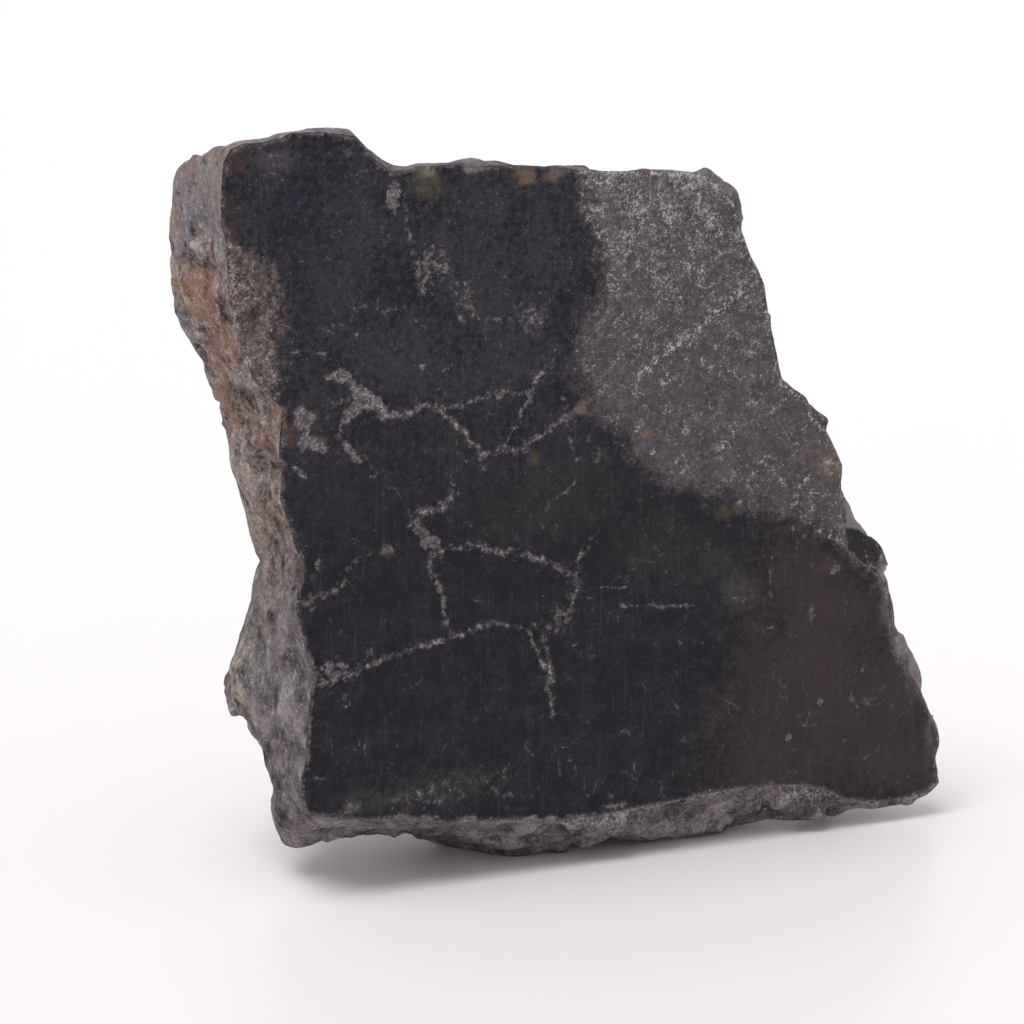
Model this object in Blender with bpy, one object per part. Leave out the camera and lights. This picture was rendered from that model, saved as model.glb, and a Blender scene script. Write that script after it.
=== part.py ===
"""A rough block of spectrolite: one sawn face, weathered crust down its left side, broken rock all round.

The sawn face stands upright in the XZ plane and looks towards -Y. The outlines below are in millimetres
as seen from in front of the face: x runs right from the stone's left end, z runs up from the surface that
the stone rests on, and depth runs back from the sawn face. The model itself is in metres.
"""

import math

import bmesh
import bpy
from mathutils import Matrix, Vector, geometry, noise

MM = 0.001

# The edge of the sawn face: x, z
FACE_EDGE = [
    (1.0, 94.0), (1.9, 95.5), (3.7, 96.1), (5.8, 96.0), (8.3, 96.3), (9.6, 96.9),
    (13.3, 96.8), (16.6, 96.2), (18.3, 95.7), (19.8, 93.9), (21.2, 92.3), (22.7, 91.3),
    (24.6, 91.2), (26.2, 91.6), (31.7, 91.6), (33.3, 90.9), (35.4, 91.0), (39.7, 90.8),
    (45.1, 90.1), (48.2, 89.4), (53.2, 89.0), (58.7, 88.6), (64.3, 87.9), (66.1, 87.0),
    (67.6, 85.5), (68.9, 83.9), (69.3, 82.4), (70.3, 79.8), (71.4, 76.9), (72.5, 75.1),
    (73.4, 73.0), (73.8, 70.7), (74.7, 65.2), (76.1, 60.5), (77.8, 59.1), (79.3, 58.0),
    (80.0, 56.5), (80.9, 55.1), (82.2, 53.9), (83.1, 52.4), (85.0, 48.6), (84.8, 45.8),
    (85.1, 43.5), (84.7, 40.2), (85.6, 37.7), (88.0, 35.6), (90.5, 33.6), (91.4, 31.3),
    (91.9, 28.6), (92.3, 25.9), (93.2, 23.1), (94.7, 20.5), (96.1, 18.7), (97.5, 16.1),
    (99.8, 11.2), (99.9, 9.8), (99.3, 8.2), (99.8, 6.1), (99.7, 4.6), (98.4, 3.7),
    (96.0, 3.2), (92.3, 3.1), (89.0, 3.4), (86.1, 4.1), (83.6, 5.6), (79.7, 6.8),
    (75.1, 7.4), (70.3, 7.6), (65.6, 7.5), (62.6, 7.1), (56.5, 6.9), (52.3, 6.6),
    (46.9, 6.4), (42.1, 6.8), (37.4, 7.8), (32.3, 8.2), (29.3, 8.4), (26.0, 9.2),
    (24.8, 9.7), (23.5, 10.3), (22.3, 9.9), (19.9, 10.0), (15.2, 10.9), (12.8, 11.4),
    (10.4, 12.4), (10.1, 14.6), (10.2, 16.7), (10.8, 18.4), (11.3, 25.8), (11.9, 29.1),
    (11.1, 32.3), (9.7, 37.9), (9.9, 40.1), (10.6, 42.1), (10.5, 44.4), (8.9, 48.9),
    (7.8, 52.2), (8.0, 55.9), (7.7, 57.8), (8.2, 63.3), (6.5, 65.2), (4.7, 67.1),
    (3.6, 69.9), (2.5, 73.7), (1.5, 77.4), (1.3, 84.1), (0.6, 86.6), (0.6, 89.6),
]

# The line round the stone where the rock turns away behind the face: x, z, depth
RIM = [
    (0.3, 91.8, 14.0), (1.0, 94.2, 11.0), (1.6, 95.0, 7.5), (2.4, 95.6, 5.0), (5.0, 96.1, 3.2),
    (11.6, 96.8, 2.0), (16.6, 96.9, 2.4), (18.2, 96.7, 2.2), (19.7, 94.8, 1.8), (22.0, 92.5, 1.6),
    (23.1, 91.5, 1.2), (24.3, 91.2, 1.0), (26.5, 91.5, 1.2), (30.0, 91.5, 1.0), (31.4, 91.7, 1.8),
    (35.8, 91.4, 2.2), (36.4, 90.9, 1.2), (46.9, 90.1, 1.2), (53.0, 89.5, 1.8), (61.3, 88.8, 1.8),
    (65.9, 87.9, 1.6), (68.3, 85.6, 1.0), (70.0, 83.8, 1.0), (70.0, 82.4, 0.8), (72.1, 76.7, 0.8),
    (73.2, 75.1, 0.8), (74.1, 73.1, 0.8), (74.5, 70.6, 0.8), (75.5, 65.0, 0.8), (76.8, 60.4, 0.8),
    (78.6, 59.3, 1.0), (80.1, 58.1, 1.0), (80.8, 56.5, 1.0), (81.7, 55.1, 1.0), (83.0, 54.0, 1.0),
    (83.9, 52.4, 1.0), (85.8, 48.5, 1.0), (85.6, 45.5, 1.0), (86.2, 42.4, 1.2), (87.0, 40.5, 1.8),
    (89.2, 39.2, 1.8), (91.6, 37.5, 1.8), (92.3, 35.7, 1.5), (92.7, 31.4, 1.0), (93.7, 28.3, 1.4),
    (93.7, 25.7, 1.2), (94.9, 22.8, 1.4), (97.3, 18.7, 1.0), (98.4, 16.2, 0.8), (100.7, 11.1, 0.8),
    (100.8, 9.3, 0.8), (100.2, 7.7, 0.8), (100.9, 3.8, 1.0), (99.8, 2.6, 1.2), (97.0, 2.3, 1.0),
    (89.6, 2.3, 1.0), (86.5, 3.1, 1.5), (84.3, 2.1, 4.0), (78.7, 1.4, 5.0), (69.7, 1.3, 5.0),
    (56.0, 1.5, 4.6), (50.1, 2.2, 4.0), (49.4, 1.1, 5.0), (48.0, 0.2, 5.6), (42.5, 0.5, 6.0),
    (37.6, 2.1, 6.0), (34.9, 2.9, 6.5), (33.1, 4.4, 6.0), (30.7, 4.2, 7.0), (27.3, 5.6, 7.0),
    (24.0, 6.3, 7.0), (20.1, 4.8, 9.0), (15.5, 4.5, 10.0), (13.7, 3.9, 11.0), (12.2, 4.6, 12.0),
    (11.2, 7.5, 11.5), (11.0, 11.1, 10.5), (10.6, 14.7, 13.0), (10.7, 16.9, 16.0), (9.5, 19.4, 21.0),
    (9.1, 22.1, 23.0), (9.3, 26.3, 21.0), (10.0, 29.8, 19.0), (10.6, 36.0, 16.0), (10.7, 40.5, 14.0),
    (9.8, 44.0, 15.0), (8.7, 48.2, 14.5), (7.7, 51.5, 15.5), (7.4, 56.0, 16.0), (6.1, 60.8, 16.0),
    (4.9, 63.6, 16.0), (3.7, 66.4, 15.0), (2.0, 69.5, 15.5), (0.4, 72.9, 16.0), (0.1, 79.0, 16.0),
    (0.1, 89.6, 15.5),
]

# The turn of the sides, about halfway back: x, z, depth
SHOULDER = [
    (3.5, 89.5, 20.0), (12.5, 92.5, 13.0), (19.0, 92.3, 11.0), (25.5, 88.0, 11.5), (43.5, 86.0, 13.0),
    (60.5, 84.0, 13.0),
    (70.5, 79.5, 12.0), (76.5, 66.0, 12.0), (82.0, 56.0, 13.0), (87.0, 46.0, 13.0), (92.0, 36.0, 13.5),
    (96.0, 24.0, 13.0), (100.2, 12.5, 12.0), (98.5, 6.0, 12.0), (88.0, 3.0, 13.0), (77.0, 0.9, 14.0),
    (66.0, -1.4, 15.0), (54.0, -1.7, 15.0), (42.0, -1.4, 16.0), (33.0, 1.2, 17.0), (19.0, 3.8, 18.0),
    (15.0, 7.0, 20.0), (16.0, 14.0, 24.0), (12.5, 25.0, 28.0), (15.8, 38.0, 24.0), (12.0, 50.0, 22.0),
    (8.0, 64.0, 21.5), (3.4, 74.5, 21.0), (3.0, 84.0, 21.0),
]

# Flat faces where the rock split along its cleavage: a point of each, the way it looks, both as
# x, depth, z
CLEAVAGE_FACES = [
    ((45.0, 27.0, 66.0), (0.12, 0.80, 0.59)),  # upper back
    ((80.0, 19.0, 40.0), (0.72, 0.68, 0.12)),  # right back
    ((60.0, 30.0, 8.0), (0.05, 0.62, -0.78)),  # lower back
    ((8.0, 25.0, 81.0), (-0.45, 0.80, 0.38)),  # upper left
    ((20.0, 32.0, 22.0), (-0.55, 0.80, -0.20)),  # behind the bulge of the lower left
    ((64.0, 14.0, 78.5), (0.50, 0.62, 0.60)),  # upper right
    ((84.0, 14.0, 4.5), (0.30, 0.45, -0.84)),  # under the right end
]

# Bumps and dents of the crust on the left side: depth, z, radius, height
CRUST_MARKS = [
    (9.2, 93.0, 1.8, -0.9), (7.4, 89.5, 1.8, -1.1), (6.6, 86.5, 1.8, -1.2), (7.2, 83.5, 1.8, -1.0),
    (3.4, 79.2, 1.7, -0.9), (10.2, 77.2, 2.4, 0.9), (8.8, 71.8, 2.6, -1.2), (13.2, 74.5, 2.4, 0.8),
    (4.5, 74.5, 2.6, 0.7), (4.0, 66.5, 2.4, -0.8), (12.5, 67.5, 2.4, -0.8), (8.0, 62.0, 2.8, 0.9),
    (3.2, 56.5, 2.2, -1.0), (11.5, 54.0, 2.6, 0.8), (5.5, 50.5, 2.2, 0.8), (9.5, 46.5, 2.4, -1.0),
    (4.0, 42.5, 2.0, 0.8), (9.0, 39.0, 2.2, -0.9),
]

# The edge of the broken back: x, z, depth
BACK_EDGE = [
    (9.5, 85.0, 25.0), (19.0, 86.5, 20.0), (33.0, 82.0, 20.0), (50.0, 79.0, 21.0), (63.0, 76.0, 20.0),
    (71.0, 64.0, 20.0), (77.5, 51.0, 20.5), (84.0, 38.0, 21.5), (90.0, 24.0, 20.5), (92.0, 10.0, 19.0),
    (80.0, 5.0, 23.0), (66.0, 2.0, 27.0), (50.0, 1.0, 29.0), (36.0, 2.5, 30.0), (25.0, 7.0, 28.0),
    (19.5, 16.0, 31.0), (18.0, 27.0, 33.5), (20.5, 40.0, 31.0), (16.5, 54.0, 28.5), (12.5, 68.0, 27.0),
    (9.5, 78.0, 26.0),
]

STONE_CENTRE = (47.0, 48.0)  # x, z inside every outline, from which each of them is swept
SWEEP_STEP = math.radians(2.3)  # widest turn between two neighbouring profiles
CLOSE_STEP = math.radians(0.6)  # a corner of the rim nearer than this to one of the face is left out
SIDE_STEPS = 15  # rows of faces from the sawn face to the back edge

BACK_DEPTH = 32.5  # depth of the back's highest ground, near its thick lower left
BACK_SPACING = 2.8  # between the points that the back is built on
BACK_RIM_SHARE = 0.72  # the back reaches its full height at this share of the way out
TERRACE_STEP = 1.7  # height of the cleavage steps on the back
TERRACE_RISER = 0.22  # share of each step that its riser takes

LUMP_SIZE, LUMP_HEIGHT = 15.0, 1.0
PLATE_SIZE, PLATE_HEIGHT, PLATE_TILT = 12.0, 0.85, 0.36
RIB_SIZE, RIB_LENGTH, RIB_HEIGHT = 3.2, 15.0, 0.6
PIT_SIZE, PIT_REACH, PIT_DEPTH = 7.5, 0.28, 1.1
PLATE_JOINT = 1.4  # width of the step between two broken plates
RIM_HOLD = (0.15, 0.6)  # share of the relief left on the rim, and on the rows next to it
BY_FACE = 0.5  # share of the relief left on the row next to the sawn face
EVEN_OUT = 2  # rounds of evening out the points that were moved onto a cleavage face
NEAR_FLOOR = 0.02  # points this close to the resting surface count as lying on it

CRUST_END = 22.0  # the weathered crust reaches this far right from the stone's left end
CRUST_FADE = 10.0


def clear_scene():
    for found in list(bpy.data.objects):
        bpy.data.objects.remove(found, do_unlink=True)


def smooth(low, high, value):
    share = min(max((value - low) / (high - low), 0.0), 1.0)
    return share * share * (3.0 - 2.0 * share)


def mix(first, second, share):
    return first + (second - first) * share


def angle_of(point):
    return math.atan2(point[1] - STONE_CENTRE[1], point[0] - STONE_CENTRE[0]) % math.tau


def sweep_angles():
    """The corners of the face and of the rim, and turns between them where they are far apart."""
    corners = sorted(angle_of(point) for point in FACE_EDGE)
    for angle in sorted(angle_of(point) for point in RIM):
        nearest = min(abs(math.remainder(angle - corner, math.tau)) for corner in corners)
        if nearest > CLOSE_STEP:
            corners.append(angle)
    corners.sort()
    angles = []
    for corner, following in zip(corners, corners[1:] + [corners[0] + math.tau]):
        count = math.ceil((following - corner) / SWEEP_STEP)
        angles += [corner + (following - corner) * i / count for i in range(count)]
    return angles


def reach(outline, angle):
    """(radius, depth) where the ray at this angle from the stone's centre meets an outline."""
    direction = Vector((math.cos(angle), math.sin(angle)))
    across = Vector((-direction.y, direction.x))
    best = (0.0, 0.0)
    for start, end in zip(outline, outline[1:] + outline[:1]):
        first = Vector(start[:2]) - Vector(STONE_CENTRE)
        second = Vector(end[:2]) - Vector(STONE_CENTRE)
        side, far_side = first.dot(across), second.dot(across)
        if side * far_side > 0 or side == far_side:
            continue
        share = side / (side - far_side)
        radius = first.lerp(second, share).dot(direction)
        if radius > best[0]:
            depths = (start[2], end[2]) if len(start) == 3 else (0.0, 0.0)
            best = (radius, mix(*depths, share))
    return Vector(best)


def profile(angle):
    """Points of one profile as (radius, depth), evenly spaced from the sawn face to the back edge.

    One of them always lies on the rim, so the outline keeps its corners."""
    stations = [reach(outline, angle) for outline in (FACE_EDGE, RIM, SHOULDER, BACK_EDGE)]
    lengths = [(b - a).length for a, b in zip(stations, stations[1:])]
    on_rim = max(1, round(SIDE_STEPS * lengths[0] / sum(lengths)))
    points = [stations[0].lerp(stations[1], i / on_rim) for i in range(on_rim)]
    behind = SIDE_STEPS - on_rim
    for i in range(behind + 1):
        travelled = (lengths[1] + lengths[2]) * i / behind
        if travelled <= lengths[1]:
            points.append(stations[1].lerp(stations[2], travelled / lengths[1]))
        else:
            points.append(stations[2].lerp(stations[3], (travelled - lengths[1]) / lengths[2]))
    return points, on_rim


def place(angle, radius, depth):
    """A point of the model in millimetres: x right, depth back, z up."""
    return Vector(
        (
            STONE_CENTRE[0] + radius * math.cos(angle),
            depth,
            STONE_CENTRE[1] + radius * math.sin(angle),
        )
    )


def plates(point):
    """Height of rock broken into flat plates, each with its own level and tilt."""
    distances, centres = noise.voronoi(point / PLATE_SIZE)
    heights = []
    for centre in centres[:2]:
        draw = noise.cell_vector(centre) - Vector((0.5, 0.5, 0.5))
        slope = (point / PLATE_SIZE - centre).dot(draw) * PLATE_SIZE * PLATE_TILT
        heights.append(2.0 * draw.x * PLATE_HEIGHT + slope)
    own = smooth(0.0, PLATE_JOINT, (distances[1] - distances[0]) * PLATE_SIZE)
    return mix((heights[0] + heights[1]) / 2.0, heights[0], own)


def pits(point):
    distances, _ = noise.voronoi(point / PIT_SIZE + Vector((4.1, 7.7, 2.3)))
    return -PIT_DEPTH * (1.0 - smooth(0.0, PIT_REACH, distances[0]))


def ribs(point):
    """Ridges of the weathered crust, which run up and down the stone."""
    along = Vector((point.x / RIB_SIZE, point.y / RIB_SIZE, point.z / RIB_LENGTH))
    return RIB_HEIGHT * noise.noise(along)


def crust_marks(point):
    height = 0.0
    for depth, z, radius, rise in CRUST_MARKS:
        away = math.hypot(point.y - depth, point.z - z)
        height += rise * (1.0 - smooth(0.35 * radius, 1.3 * radius, away))
    return height


def relief(point):
    """How far the rock stands out from its plain form at a point of its broken surface."""
    crust = 1.0 - smooth(CRUST_END, CRUST_END + CRUST_FADE, point.x)
    lumps = LUMP_HEIGHT * noise.noise(point / LUMP_SIZE)
    broken = plates(point) * mix(1.0, 0.55, crust)
    return lumps + broken + crust * (ribs(point) + pits(point) + crust_marks(point))


def pressed_flat(point):
    """The point, moved back onto any cleavage face that it stands out from."""
    for on_face, looks in CLEAVAGE_FACES:
        normal = Vector(looks).normalized()
        out = (point - Vector(on_face)).dot(normal)
        if out > 0.0:
            point = point - normal * out
    return point


def terraced(height):
    """A slope turned into the steps that the rock's cleavage leaves."""
    steps = height / TERRACE_STEP
    whole = math.floor(steps)
    return TERRACE_STEP * (whole + smooth(1.0 - TERRACE_RISER, 1.0, steps - whole))


def back_depth(point, share_out, edge_depth):
    """Depth of the broken back at (x, z), which steps up from its edge to the thick lower left."""
    x, z = point
    ground = BACK_DEPTH - 0.10 * max(z - 34.0, 0.0) - 0.13 * max(x - 40.0, 0.0)
    ground += 2.6 * noise.noise(Vector((x / 24.0, z / 24.0, 3.0)))
    ground += 0.11 * (x - 30.0) * smooth(34.0, 22.0, x)
    return mix(edge_depth, terraced(ground), smooth(1.0, BACK_RIM_SHARE, share_out))


def share_of_relief(step, on_rim):
    """The sawn face stays flat, and the relief grows from it and from the rim."""
    if step == 0:
        return 0.0
    from_rim = abs(step - on_rim)
    share = RIM_HOLD[from_rim] if from_rim < len(RIM_HOLD) else 1.0
    return min(share, BY_FACE) if step == 1 else share


def add_sides(mesh, angles, shares):
    """The swept sides. It returns the loop round the sawn face and the loop round the back."""
    rows = [[] for _ in range(SIDE_STEPS + 1)]
    for angle in angles:
        points, on_rim = profile(angle)
        for step, row in enumerate(rows):
            vert = mesh.verts.new(place(angle, *points[step]))
            shares[vert] = share_of_relief(step, on_rim)
            row.append(vert)
    count = len(angles)
    for row, next_row in zip(rows, rows[1:]):
        for i in range(count):
            j = (i + 1) % count
            mesh.faces.new((row[i], row[j], next_row[j], next_row[i]))
    return rows[0], rows[-1]


def add_back(mesh, edge, relief_shares):
    """The broken back: points scattered inside its edge, joined and lifted to their depths."""
    outline = [Vector((vert.co.x, vert.co.z)) for vert in edge]
    centre = Vector(STONE_CENTRE)
    loop = [(*vert.co.xz, vert.co.y) for vert in edge]
    points = list(outline)
    shares = []
    row_height = BACK_SPACING * math.sqrt(0.75)
    for row in range(int(100.0 / row_height)):
        for column in range(int(105.0 / BACK_SPACING)):
            x = (column + 0.5 * (row % 2)) * BACK_SPACING
            z = row * row_height
            shift = noise.cell_vector(Vector((column, row, 9.0))) - Vector((0.5, 0.5, 0.5))
            spot = Vector((x, z)) + shift.xy * BACK_SPACING * 0.5
            edge_radius, edge_depth = reach(loop, angle_of(spot))
            share_out = (spot - centre).length / edge_radius
            if (edge_radius - (spot - centre).length) > 0.6 * BACK_SPACING:
                points.append(spot)
                shares.append((share_out, edge_depth))
    ring = [(i, (i + 1) % len(edge)) for i in range(len(edge))]
    joined = geometry.delaunay_2d_cdt(points, ring, [], 1, 1e-6)
    verts = []
    for spot, sources in zip(joined[0], joined[3]):
        source = sources[0]
        if source < len(edge):
            verts.append(edge[source])
            continue
        share_out, edge_depth = shares[source - len(edge)]
        depth = back_depth(spot, share_out, edge_depth)
        vert = mesh.verts.new((spot.x, depth, spot.y))
        relief_shares[vert] = 1.0
        verts.append(vert)
    for corners in joined[2]:
        mesh.faces.new([verts[i] for i in corners])


def roughen(mesh, shares):
    """Presses the cleavage faces flat, then gives the broken surface its relief."""
    pressed = []
    for vert, share in shares.items():
        flat = pressed_flat(vert.co)
        if share > RIM_HOLD[0] and flat != vert.co:
            vert.co = flat
            pressed.append(vert)
    for _ in range(EVEN_OUT):
        bmesh.ops.smooth_vert(
            mesh, verts=pressed, factor=0.5, use_axis_x=True, use_axis_y=True, use_axis_z=True
        )
    mesh.normal_update()
    for vert, share in shares.items():
        vert.co += vert.normal * relief(vert.co) * share


def cut_base(mesh):
    """Cuts the stone off flat where it dips below the surface it rests on."""
    whole = mesh.verts[:] + mesh.edges[:] + mesh.faces[:]
    bmesh.ops.bisect_plane(
        mesh, geom=whole, dist=NEAR_FLOOR, plane_co=(0, 0, 0), plane_no=(0, 0, 1), clear_inner=True
    )
    for vert in mesh.verts:
        if vert.co.z < NEAR_FLOOR:
            vert.co.z = 0.0
    bmesh.ops.holes_fill(mesh, edges=[edge for edge in mesh.edges if edge.is_boundary])


def make_stone():
    mesh = bmesh.new()
    shares = {}
    face_loop, back_loop = add_sides(mesh, sweep_angles(), shares)
    mesh.faces.new(face_loop)
    add_back(mesh, back_loop, shares)
    bmesh.ops.recalc_face_normals(mesh, faces=mesh.faces[:])
    roughen(mesh, shares)
    cut_base(mesh)
    bmesh.ops.recalc_face_normals(mesh, faces=mesh.faces[:])
    low = [min(vert.co[i] for vert in mesh.verts) for i in range(3)]
    high = [max(vert.co[i] for vert in mesh.verts) for i in range(3)]
    middle = Vector(((low[0] + high[0]) / 2.0, (low[1] + high[1]) / 2.0, 0.0))
    mesh.transform(Matrix.Scale(MM, 4) @ Matrix.Translation(-middle))
    bmesh.ops.triangulate(mesh, faces=mesh.faces[:])
    data = bpy.data.meshes.new("spectrolite_stone")
    mesh.to_mesh(data)
    mesh.free()
    stone = bpy.data.objects.new("spectrolite_stone", data)
    bpy.context.scene.collection.objects.link(stone)
    return stone


def stone_material():
    material = bpy.data.materials.new("dark_labradorite")
    material.use_nodes = True
    shader = material.node_tree.nodes["Principled BSDF"]
    shader.inputs["Base Color"].default_value = (0.035, 0.033, 0.038, 1.0)
    shader.inputs["Roughness"].default_value = 0.55
    shader.inputs["Metallic"].default_value = 0.0
    return material


clear_scene()
make_stone().data.materials.append(stone_material())
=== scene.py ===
"""The look of a rough spectrolite block: a sawn, half-polished face, weathered crust and fracture.

Places on the sawn face are in millimetres: x runs right from the face's left end, and z up from the
surface that the stone rests on. Depth runs back from the face. The meshes are in metres, in the
stone's own frame.
"""

import math

import bmesh
import bpy
import numpy as np
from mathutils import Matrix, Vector, geometry, noise


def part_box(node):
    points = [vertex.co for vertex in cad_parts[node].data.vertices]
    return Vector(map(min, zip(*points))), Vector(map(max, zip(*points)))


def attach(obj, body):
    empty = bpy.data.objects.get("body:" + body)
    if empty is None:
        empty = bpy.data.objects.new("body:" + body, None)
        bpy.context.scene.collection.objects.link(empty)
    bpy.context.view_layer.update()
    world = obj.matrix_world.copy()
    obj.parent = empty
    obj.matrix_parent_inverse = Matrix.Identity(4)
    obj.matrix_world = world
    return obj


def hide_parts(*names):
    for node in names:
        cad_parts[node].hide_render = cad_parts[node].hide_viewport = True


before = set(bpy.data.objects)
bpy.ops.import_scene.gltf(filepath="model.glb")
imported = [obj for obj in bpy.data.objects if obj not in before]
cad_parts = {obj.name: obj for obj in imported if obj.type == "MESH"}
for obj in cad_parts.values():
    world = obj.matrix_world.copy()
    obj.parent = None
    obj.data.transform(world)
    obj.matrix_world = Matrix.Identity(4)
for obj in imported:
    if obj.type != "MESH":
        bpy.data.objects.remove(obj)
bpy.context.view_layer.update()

STONE = "spectrolite_stone"
MM = 0.001

VIEW_AZIMUTH, VIEW_HEIGHT = math.radians(-25.0), math.radians(14.0)
VIEW_DISTANCE = 0.65  # metres
VIEW_LENS, VIEW_SENSOR = 185.0, 36.0
VIEW_TARGET = (38.0, 47.434)  # x, z on the sawn face

GRID_STEP = 0.52  # between the points that the sawn face is built on
CRACK_STEP = 0.4  # between the points set along a crack
CRACK_WANDER = 0.35  # how far a crack strays from its line
CRACK_SEED = 5  # the cracks stray the same way in each run
EDGE_GAP = 0.3  # the face's own points keep this far from its edge
SIDE_CUTS = 2  # each edge of the broken sides is cut this many times
FINE_DEPTH, FINE_LEFT, FINE_LOW = 22.0, 18.0, 13.5  # the crust and the lower lip are cut once more
SOFTENED = 4  # how often the broken sides are smoothed
CORNER_SOFTENED = 12  # and how often more the rounded upper left corner
CORNER_LEVEL, CORNER_WIDTH = 82.0, 30.0  # that corner's lowest z and its width
NEAR_FACE = 0.05  # anything closer to the face's plane, or to the floor, counts as on it

TABLE_HALF = 3.2  # metres
TABLE_LEVEL = 1.3  # metres from the middle, as far as the table is level
TABLE_RISE = 0.30  # how fast it rises beyond
TABLE_CELLS = 64
TABLE_NEAR, TABLE_FAR = (0.900, 0.858, 0.880), (0.900, 0.890, 0.895)
TABLE_FADE = (-120.0, 300.0)  # depths between which the near colour becomes the far one
SKY_STRENGTH = 0.535
SUN_STRENGTH, SUN_SOFTNESS = 1.91, 40.0
SUN_TOWARD = (0.40, 0.14, -1.0)
LIGHT_TONE = (1.0, 0.996, 0.998)

GLOSS, TABLE_GLOSS = 0.24, 0.20  # specular levels
BUMP_DEPTH = 0.45  # of the grain that is too fine for the mesh

# Colours of the polished face
DEEP_BLACK, CLOUDY_BLACK = (0.0012, 0.0010, 0.0045), (0.0140, 0.0126, 0.0188)
PALE_CLOUD = (0.0330, 0.0305, 0.0380)
BROWN_CLOUD = (0.0330, 0.0225, 0.0260)
SCRATCH = (0.0600, 0.0560, 0.0620)

# Colours of its matte parts, of the grains in its cracks, and of dust
MATTE_DARK, MATTE_PALE = (0.0500, 0.0430, 0.0500), (0.1500, 0.1310, 0.1400)
# Painted shade: darkens the lower part of the matte patch
MATTE_SHADE = (0.0280, 0.0250, 0.0320)
SCUFFED_DARK, SCUFFED_PALE = (0.0360, 0.0260, 0.0240), (0.2000, 0.1520, 0.1330)
HAZE_DARK, HAZE_PALE = (0.0750, 0.0660, 0.0740), (0.1700, 0.1520, 0.1580)
PALE_GRAIN = (0.4900, 0.4650, 0.4750)
DUST = (0.6500, 0.6300, 0.6300)

# Colours of the fracture and the crust, with the shade, light and glints painted on them
BROKEN_DARK, BROKEN_PALE = (0.0420, 0.0360, 0.0410), (0.2100, 0.1850, 0.1950)
# Painted light: the lip under the face faces down into shade and is made paler to make up for it
LIP_PAINTED_LIGHT = (0.3600, 0.3200, 0.3350)
CRUST_DARK, CRUST_PALE = (0.0380, 0.0270, 0.0270), (0.3400, 0.2700, 0.2550)
CRUST_TOP, CRUST_ORANGE = (0.2000, 0.1900, 0.2050), (0.2300, 0.1250, 0.0750)
CRUST_BLUE = (0.1150, 0.1150, 0.1350)
LOW_CRUST_DARK, LOW_CRUST_PALE = (0.0420, 0.0370, 0.0420), (0.1850, 0.1670, 0.1730)
WORN_GRAIN = (0.5000, 0.4550, 0.4500)
# Painted shade: the near-black of the deepest hollows
HOLLOW_SHADE = (0.0120, 0.0100, 0.0110)
# Painted highlight: white glints of the fracture, put into its colour
PAINTED_GLINT = (0.7000, 0.6700, 0.6600)

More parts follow.
